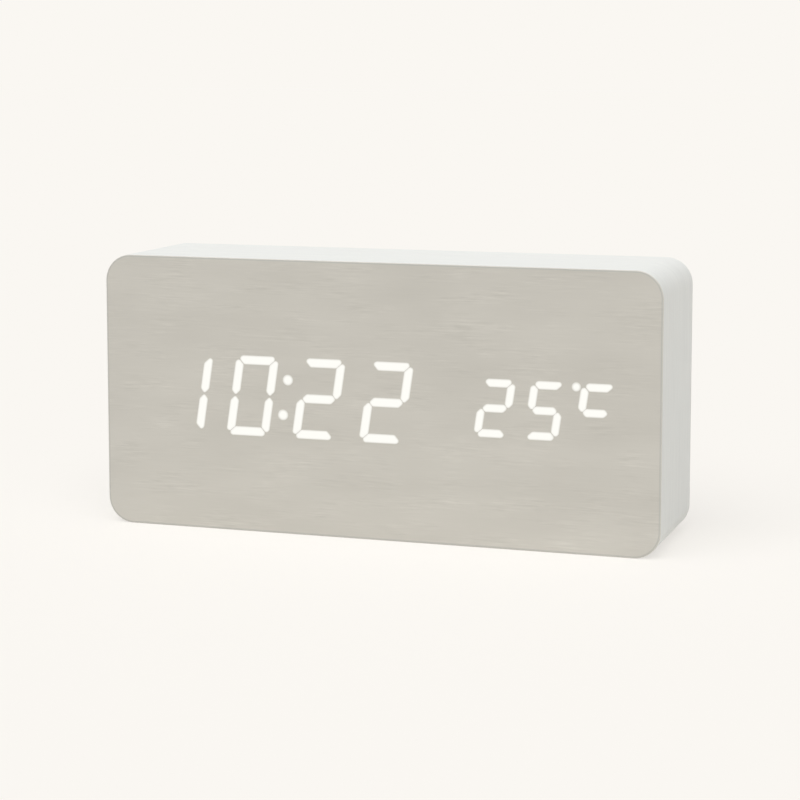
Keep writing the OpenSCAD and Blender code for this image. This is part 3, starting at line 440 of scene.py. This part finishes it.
# The CAD nodes that stay as they are, by finish
finishOfNodes = {
    fibreboard(): ["case_body"],
    reflectorFinish: ["display_reflector"],
    litLensFinish: ["lit_time_segments", "lit_temperature_segments", "lit_dots"],
    unlitLensFinish: ["unlit_segments"],
    phosphorFinish: ["led_chips"],
    boardFinish: ["display_board", "control_board"],
    epoxyFinish: ["driver_chip", "controller_chip", "chip_resistors", "buzzer", "switch_bodies", "usb_tongue",
                  "temperature_sensor"],
    nylonFinish: ["display_socket", "control_socket", "coin_cell_holder"],
    zincSteelFinish: ["display_screws", "board_screws", "crystal", "microphone", "coin_cell"],
    nickelFinish: ["contact_plates", "coin_cell_strap", "usb_shell"],
    redPvcFinish: ["battery_lead_red"],
    blackPvcFinish: ["battery_lead_black"],
    ribbonPvc(): ["ribbon_cable"],
    sleeveFinish: ["smoothing_capacitor"],
    acetalFinish: ["set_plunger", "up_plunger", "down_plunger"],
}
for finish, nodes in finishOfNodes.items():
    for name in nodes:
        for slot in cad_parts[name].material_slots:
            slot.material = finish
print("finishes made:", len(bpy.data.materials))


# The white foil round the case, with a softened back rim and a fine seam against the front foil
wrap = {"corner": 7 * mm, "cornerSteps": 28, "rim": 0.35 * mm, "rimSteps": 4, "seam": 0.05 * mm,
        "seamSteps": 2, "thick": 0.4 * mm}


# How far a point of the wrapped outline lies from the middle of the top, along the foil
def alongFoil(x, z, size):
    radius, reach = wrap["corner"], size.x / 2 - wrap["corner"]
    topCorner, bottomCorner = size.z - radius, radius
    quarter = radius * math.pi / 2
    if x <= reach:
        return x if z > size.z / 2 else 2 * reach + 2 * quarter + topCorner - bottomCorner - x
    if z >= topCorner:
        return reach + radius * math.atan2(x - reach, z - topCorner)
    if z >= bottomCorner:
        return reach + quarter + topCorner - z
    return reach + quarter + topCorner - bottomCorner + radius * math.atan2(bottomCorner - z, x - reach)


def makeWrap():
    low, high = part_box("wrap_film")
    piece = addBox("case_wrap", low, high)
    startEdit(piece)
    pick("edges", isAlongY)
    bpy.ops.mesh.bevel(offset=wrap["corner"], segments=wrap["cornerSteps"], affect="EDGES")
    for plane, kind in ((low.y, "seam"), (high.y, "rim")):
        pick("edges", lambda e: isAtY(e, plane))
        bpy.ops.mesh.bevel(offset=wrap[kind], segments=wrap[kind + "Steps"], affect="EDGES")
        pick("faces", lambda f: isAtY(f, plane))
        bpy.ops.mesh.inset(thickness=wrap["thick"] - wrap[kind])
    pick("faces", lambda f: len(f.verts) > 4)
    bpy.ops.mesh.bridge_edge_loops()  # hollow from end to end
    bpy.ops.mesh.select_all(action="SELECT")
    bpy.ops.mesh.bisect(plane_co=(0, 0, 0), plane_no=(1, 0, 0))  # the foil's seam, under the case
    bpy.ops.object.mode_set(mode="OBJECT")
    grainWay = piece.data.uv_layers.new(name="grainWay")
    for face in piece.data.polygons:
        side = 1 if face.center.x > 0 else -1
        for corner in face.loop_indices:
            at = piece.data.vertices[piece.data.loops[corner].vertex_index].co
            grainWay.data[corner].uv = (side * alongFoil(abs(at.x), at.z, high - low), at.y)
    return dress(piece, whiteFoilFinish, "case", "white_film", "wrap_film")


makeWrap()
print("case wrap made")


# The printed foil over the whole front, with its edge rolled back to the wrap
frontSheet = {"corner": 7 * mm, "cornerSteps": 28, "sunk": 0.04 * mm, "rim": 0.3 * mm, "rimSteps": 4,
              "seam": 0.03 * mm, "seamSteps": 1, "pressed": 0.35 * mm}


def makeFrontSheet():
    low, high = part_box("front_film")
    low.y += frontSheet["sunk"]  # room for the light on the foil's face
    piece = addBox("front_sheet", low, high)
    startEdit(piece)
    pick("edges", isAlongY)
    bpy.ops.mesh.bevel(offset=frontSheet["corner"], segments=frontSheet["cornerSteps"], affect="EDGES")
    for plane, kind in ((low.y, "rim"), (high.y, "seam")):
        pick("edges", lambda e: isAtY(e, plane))
        bpy.ops.mesh.bevel(offset=frontSheet[kind], segments=frontSheet[kind + "Steps"], affect="EDGES")
    pick("faces", lambda f: isAtY(f, low.y))
    bpy.ops.mesh.inset(thickness=frontSheet["pressed"])
    pick("edges", lambda e: isAtY(e, low.y) and any(not isAtY(f, low.y) for f in e.link_faces))  # its rim
    bpy.ops.object.mode_set(mode="OBJECT")
    # The band inside the rim carries painted shade, and the rounded rim carries a painted highlight
    for kind in ("pressed", "painted_rim_highlight"):
        piece.data.attributes.new(kind, "FLOAT", "POINT")
    for vertex in piece.data.vertices:
        piece.data.attributes["pressed"].data[vertex.index].value = float(vertex.select)
        turned = (vertex.co.y - low.y) / frontSheet["rim"]
        piece.data.attributes["painted_rim_highlight"].data[vertex.index].value = min(1, turned)
    return dress(piece, greigeFoilFinish, "case", "grain_film", "front_film")


makeFrontSheet()
print("front sheet made")


# The digits as they shine through the front foil: each lens's outline, brought to the foil's face
shine = {"tip": 0.68 * mm, "tipTurn": math.radians(65), "corner": 0.4 * mm, "cornerTurn": math.radians(30),
         "cornerSteps": 4, "spread": 0.15 * mm, "fade": 0.5 * mm, "dotFade": 0.75 * mm, "thick": 0.04 * mm,
         "meet": 0.5 * mm, "meetLight": 0.45}


def makeShine(node, name, isRound=False):
    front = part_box("front_film")[0].y
    piece = copyNode(node, name)
    bpy.ops.mesh.select_all(action="SELECT")
    bpy.ops.transform.shrink_fatten(value=shine["spread"], use_even_offset=True)
    pick("faces", lambda f: f.normal.y > -limits["along"])
    bpy.ops.mesh.delete(type="FACE")
    bpy.ops.mesh.select_all(action="SELECT")
    bpy.ops.transform.resize(value=(1, 0, 1), center_override=(0, front, 0))  # flat on the foil's face
    if not isRound:
        for kind in ("tip", "corner"):  # the points first, then the blunt corners
            pick("verts", lambda v: v.calc_edge_angle(0) > shine[kind + "Turn"])
            bpy.ops.mesh.bevel(offset=shine[kind], segments=shine["cornerSteps"], affect="VERTICES")
    bpy.ops.object.mode_set(mode="OBJECT")
    reach = piece.data.attributes.new("reach", "FLOAT", "POINT")
    reach.data.foreach_set("value", lightAtRim(piece.data))
    startEdit(piece)
    bpy.ops.mesh.select_mode(type="FACE")
    bpy.ops.mesh.select_all(action="SELECT")
    bpy.ops.mesh.inset(thickness=shine["dotFade" if isRound else "fade"], use_individual=True)
    bpy.ops.object.mode_set(mode="OBJECT")
    for face in piece.data.polygons:
        if face.select:
            for index in face.vertices:
                piece.data.attributes["reach"].data[index].value = 1  # full light away from the rim
    thicken = piece.modifiers.new("thicken", "SOLIDIFY")
    thicken.thickness = shine["thick"]
    thicken.offset = -1
    bpy.ops.object.modifier_apply(modifier="thicken")
    return dress(piece, shiningFinish, "case", "lit_lens")


# How much light each corner of a flat segment gets: none at a free rim, more close to the next segment
def lightAtRim(mesh):
    light = [0.0] * len(mesh.vertices)
    for face in mesh.polygons:
        others = [mesh.vertices[i].co for other in mesh.polygons if other != face for i in other.vertices]
        for index in face.vertices:
            gap = min((mesh.vertices[index].co - other).length for other in others)
            light[index] = shine["meetLight"] * max(0, 1 - gap / shine["meet"])
    return light


makeShine("lit_time_segments", "time_shine")
makeShine("lit_temperature_segments", "temperature_shine")
makeShine("lit_dots", "dots_shine", isRound=True)
print("lit digits made")


# The white foil on the back rim
backRim = {"edge": 0.08 * mm, "steps": 2}


def makeBackRim():
    piece = copyNode("back_film", "back_rim")
    softenEdges([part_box("back_film")[1].y], backRim["edge"], backRim["steps"])
    bpy.ops.object.mode_set(mode="OBJECT")
    grainWay = piece.data.uv_layers.new(name="grainWay")
    for corner in piece.data.loops:
        at = piece.data.vertices[corner.vertex_index].co
        grainWay.data[corner.index].uv = (at.x, at.z)
    return dress(piece, whiteFoilFinish, "case", "white_film", "back_film")


makeBackRim()
print("back rim made")


# The rear cover, its door and its screws, with the broken edges of mouldings
moulding = {"edge": 0.25 * mm, "steps": 3}


def makeMoulding(node, name, planes, finish, body, slot):
    piece = copyNode(node, name)
    softenEdges(planes, moulding["edge"], moulding["steps"])
    return dress(piece, finish, body, slot, node)


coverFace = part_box("rear_cover")[1].y
makeMoulding("rear_cover", "cover_moulding", [coverFace], coverFinish, "case", "cover_plastic")
makeMoulding("battery_door", "door_moulding", [coverFace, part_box("battery_door")[1].y], coverFinish,
             "battery_door", "cover_plastic")
makeMoulding("cover_screws", "cover_screw_set", [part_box("cover_screws")[1].y], blackSteelFinish, "case",
             "black_screw")
print("cover, door and screws made")


# A round piece drawn out ring by ring from a disc, with its axis upright: each step is a height and a radius
def drawOut(name, steps, around):
    deselectAll()
    height, radius = steps[0]
    bpy.ops.mesh.primitive_circle_add(vertices=around, radius=radius, fill_type="NGON",
                                      location=(0, 0, height))
    piece = takePiece(name)
    startEdit(piece)
    bpy.ops.mesh.select_all(action="SELECT")
    for newHeight, newRadius in steps[1:]:
        bpy.ops.mesh.extrude_region_move(TRANSFORM_OT_translate={"value": (0, 0, newHeight - height)})
        widen = newRadius / radius
        bpy.ops.transform.resize(value=(widen, widen, 1), center_override=(0, 0, newHeight))
        height, radius = newHeight, newRadius
    bpy.ops.mesh.select_all(action="SELECT")
    bpy.ops.mesh.normals_make_consistent(inside=False)
    bpy.ops.object.mode_set(mode="OBJECT")
    return piece


# The quarter round from a round piece's side over to its end: how deep below the end, and how far in
def quarterRound(radius, count):
    leans = [i / count * math.pi / 2 for i in range(count + 1)]
    return [(radius * (1 - math.sin(lean)), radius * (1 - math.cos(lean))) for lean in leans]


# Turns and moves a whole piece, then puts that into its mesh
def putAt(piece, place, turn):
    selectOnly(piece)
    piece.location, piece.rotation_euler = place, turn
    bpy.ops.object.transform_apply(location=True, rotation=True, scale=True)


def joinTo(piece, other):
    selectOnly(piece)
    other.select_set(True)
    bpy.ops.object.join()


# A button cap: a flange behind the cover, a rounded rim, a hollow for the finger and a raised mark in it
cap = {"radius": 3.25 * mm, "rim": 0.5 * mm, "rimSteps": 5, "hollow": 0.33 * mm, "hollowEdge": 2.6 * mm,
       "hollowSteps": 6, "flange": 4.3 * mm, "flangeThick": 1 * mm, "around": 64}
mark = {"arrow": 0.95 * mm, "arrowCorners": 3, "dot": 0.6 * mm, "dotCorners": 24, "thick": 0.3 * mm,
        "lift": 0.06 * mm, "soft": 0.08 * mm, "softSteps": 2}


def makeButton(name, sign, turn):
    low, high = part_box(name)
    long = high.y - low.y
    steps = [(0, cap["flange"]), (cap["flangeThick"], cap["flange"]), (cap["flangeThick"], cap["radius"])]
    for deep, inward in quarterRound(cap["rim"], cap["rimSteps"]):
        steps.append((long - deep, cap["radius"] - inward))
    for i in range(cap["hollowSteps"] + 1):
        share = 1 - i / (cap["hollowSteps"] + 1)
        steps.append((long - cap["hollow"] * (1 - share ** 2), cap["hollowEdge"] * share))
    piece = drawOut(name + "_cap", steps, cap["around"])
    bottom = long - cap["hollow"]
    bpy.ops.mesh.primitive_cylinder_add(vertices=mark[sign + "Corners"], radius=mark[sign],
                                        depth=mark["thick"], location=(0, 0, bottom + mark["lift"]),
                                        rotation=(0, 0, turn))
    raised = takePiece("mark")
    startEdit(raised)
    pick("edges", lambda e: all(v.co.z > bottom for v in e.verts))
    bpy.ops.mesh.bevel(offset=mark["soft"], segments=mark["softSteps"], affect="EDGES")
    joinTo(piece, raised)
    middle = (low + high) / 2
    putAt(piece, (middle.x, low.y, middle.z), (-math.pi / 2, 0, 0))
    return dress(piece, buttonFinish, name, "button_plastic", name)


makeButton("set_button", "dot", 0)
makeButton("up_button", "arrow", math.pi)
makeButton("down_button", "arrow", 0)
print("buttons made")


# A battery cell: a printed sleeve rolled over both ends, a steel plus end with its nub and a steel minus end
cell = {"radius": 5.25 * mm, "long": 44.5 * mm, "roll": 0.45 * mm, "rollSteps": 4, "endRadius": 4.2 * mm,
        "endSunk": 0.25 * mm, "lip": 0.1 * mm, "lipSunk": 0.05 * mm, "nub": 1.9 * mm, "nubFoot": 2.4 * mm,
        "nubHigh": 0.8 * mm, "nubEdge": 0.2 * mm, "pitch": 10.9 * mm, "count": 3, "around": 56}


# Which way a cell lies, 1 with its plus end towards +X and -1 the other way, and where its minus end is
def cellFoot(i):
    low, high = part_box("battery_cells")
    way = 1 if i % 2 == 0 else -1  # head to tail
    x = high.x - cell["long"] if way > 0 else low.x + cell["long"]
    return way, x, (low.y + high.y) / 2, low.z + cell["radius"] + i * cell["pitch"]


def makeCells():
    full, end = cell["radius"], cell["endRadius"]
    body = cell["long"] - cell["nubHigh"]
    sleeveEnd = end + cell["lip"]
    rolled = [(deep, full - inward) for deep, inward in quarterRound(cell["roll"], cell["rollSteps"])]
    steps = [(cell["endSunk"], end / 2), (cell["endSunk"], end), (cell["lipSunk"], sleeveEnd)]
    steps += rolled[::-1]
    steps += [(body - deep, out) for deep, out in rolled]
    steps += [(body - cell["lipSunk"], sleeveEnd), (body - cell["endSunk"], end)]
    steps += [(body - cell["endSunk"], cell["nubFoot"]), (body, cell["nub"])]
    steps += [(cell["long"] - cell["nubEdge"], cell["nub"]), (cell["long"], cell["nub"] - cell["nubEdge"])]
    first = drawOut("cell", steps, cell["around"])
    steelEdge = (end + sleeveEnd) / 2
    sleeveWay = first.data.uv_layers.new(name="aroundCell")
    for face in first.data.polygons:
        face.material_index = int(math.hypot(face.center.x, face.center.y) < steelEdge)
        faceTurn = math.atan2(face.center.y, face.center.x)
        for corner in face.loop_indices:
            at = first.data.vertices[first.data.loops[corner].vertex_index].co
            turn = faceTurn + math.remainder(math.atan2(at.y, at.x) - faceTurn, math.tau)
            sleeveWay.data[corner].uv = (at.z, turn * full)
    for i in range(cell["count"]):
        piece = first.copy()
        piece.data = first.data.copy()
        piece.name = piece.data.name = "battery_cell_%d" % (i + 1)
        bpy.context.scene.collection.objects.link(piece)
        way, x, y, z = cellFoot(i)
        putAt(piece, (x, y, z), (0, way * math.pi / 2, 0))
        dressCell(piece)
    bpy.data.objects.remove(first)


def dressCell(piece):
    finishes = [face.material_index for face in piece.data.polygons]
    dress(piece, [cellSleeveFinish, nickelFinish], "case", "cell_sleeve", "battery_cells")
    for face, index in zip(piece.data.polygons, finishes):
        face.material_index = index


makeCells()
print("cells made")


# The contact springs, wound from round wire
spring = {"wire": 0.3 * mm, "roundSteps": 3, "wide": 3.6 * mm, "narrow": 2 * mm, "turns": 3.5,
          "stepsPerTurn": 28}


def makeSprings():
    low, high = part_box("contact_springs")
    count = round(spring["turns"] * spring["stepsPerTurn"])
    coils = bpy.data.curves.new("springs", "CURVE")
    coils.dimensions = "3D"
    coils.bevel_depth = spring["wire"]
    coils.bevel_resolution = spring["roundSteps"]
    coils.use_fill_caps = True
    for i in range(cell["count"]):
        way, tip, y, z = cellFoot(i)
        root = low.x + spring["wire"] if way > 0 else high.x - spring["wire"]
        line = coils.splines.new("POLY")
        line.points.add(count)
        for step, point in enumerate(line.points):
            share = step / count
            turn = share * spring["turns"] * math.tau
            radius = spring["wide"] + (spring["narrow"] - spring["wide"]) * share
            reach = root + (tip - way * spring["wire"] - root) * share
            point.co = (reach, y + radius * math.cos(turn), z + radius * math.sin(turn), 1)
    piece = bpy.data.objects.new("spring_set", coils)
    bpy.context.scene.collection.objects.link(piece)
    selectOnly(piece)
    bpy.ops.object.convert(target="MESH")
    piece = bpy.context.object
    piece.data.name = "spring_set"
    startEdit(piece)
    bpy.ops.mesh.select_all(action="SELECT")
    bpy.ops.mesh.remove_doubles(threshold=limits["merge"])  # joins the caps to the wire
    bpy.ops.mesh.normals_make_consistent(inside=False)
    return dress(piece, nickelFinish, "case", "contact_nickel", "contact_springs")


makeSprings()
print("springs made")


# Camera, as the photograph was taken
view = {"azimuth": 18.19, "elevation": 6.406, "distance": 588.198 * mm, "lens": 100.62, "shift": -0.125,
        "target": Vector((0.875, 0, 60.348)) * mm, "sensor": 36, "near": 10 * mm}


def makeCamera():
    turn, lift = math.radians(view["azimuth"]), math.radians(view["elevation"])
    back = Vector((math.sin(turn) * math.cos(lift), -math.cos(turn) * math.cos(lift), math.sin(lift)))
    bpy.ops.object.camera_add(location=view["target"] + view["distance"] * back)
    camera = bpy.context.object
    camera.rotation_euler = (-back).to_track_quat("-Z", "Y").to_euler()
    camera.data.lens = view["lens"]
    camera.data.shift_y = view["shift"]
    camera.data.sensor_width = view["sensor"]
    camera.data.clip_start = view["near"]
    bpy.context.scene.camera = camera


# Studio: a pale floor, an even sky and one broad lamp from above and in front
studio = {"backdrop": "#FAF7F2", "sky": 0.27, "lamp": 2.56, "lampSpread": 70,
          "lampFrom": Vector((0, -0.5, 1)), "floor": 12, "evenFloor": 0.68}


# A socket that is 1 where the camera sees a surface, straight or in a gloss or glass
def isSeen(tree):
    rays = addNode(tree, "LightPath", {})
    mirrored = addNode(tree, "Math", {0: rays.outputs["Is Camera Ray"], 1: rays.outputs["Is Glossy Ray"]},
                       operation="MAXIMUM")
    return addNode(tree, "Math", {0: mirrored.outputs[0], 1: rays.outputs["Is Transmission Ray"]},
                   operation="MAXIMUM").outputs[0]


def makeStudio():
    bpy.ops.mesh.primitive_plane_add(size=studio["floor"])
    floor = takePiece("floor")
    finish, tree = newFinish("pale_paper")
    shader = addNode(tree, "BsdfPrincipled", {"Base Color": linear(studio["backdrop"]), "Roughness": 1,
                                              "Specular IOR Level": 0})
    even = addNode(tree, "Emission", {"Color": linear(studio["backdrop"])})
    share = addNode(tree, "Math", {0: isSeen(tree), 1: studio["evenFloor"]}, operation="MULTIPLY")
    mixed = addNode(tree, "MixShader", {0: share.outputs[0], 1: shader.outputs[0], 2: even.outputs[0]})
    addNode(tree, "OutputMaterial", {"Surface": mixed.outputs[0]})
    floor.data.materials.append(finish)
    bpy.ops.object.light_add(type="SUN")
    lamp = bpy.context.object
    lamp.rotation_euler = studio["lampFrom"].to_track_quat("Z", "Y").to_euler()
    lamp.data.energy = studio["lamp"]
    lamp.data.angle = math.radians(studio["lampSpread"])
    world = bpy.data.worlds.new("studio")
    bpy.context.scene.world = world
    world.use_nodes = True
    tree = world.node_tree
    tree.nodes.clear()
    light = addNode(tree, "Background", {"Color": (1, 1, 1, 1), "Strength": studio["sky"]})
    backdrop = addNode(tree, "Background", {"Color": linear(studio["backdrop"]), "Strength": 1})
    both = addNode(tree, "MixShader", {0: isSeen(tree), 1: light.outputs[0], 2: backdrop.outputs[0]})
    addNode(tree, "OutputWorld", {"Surface": both.outputs[0]})


deselectAll()
makeCamera()
makeStudio()
bpy.context.scene.view_settings.view_transform = "Standard"
print("camera and studio made")
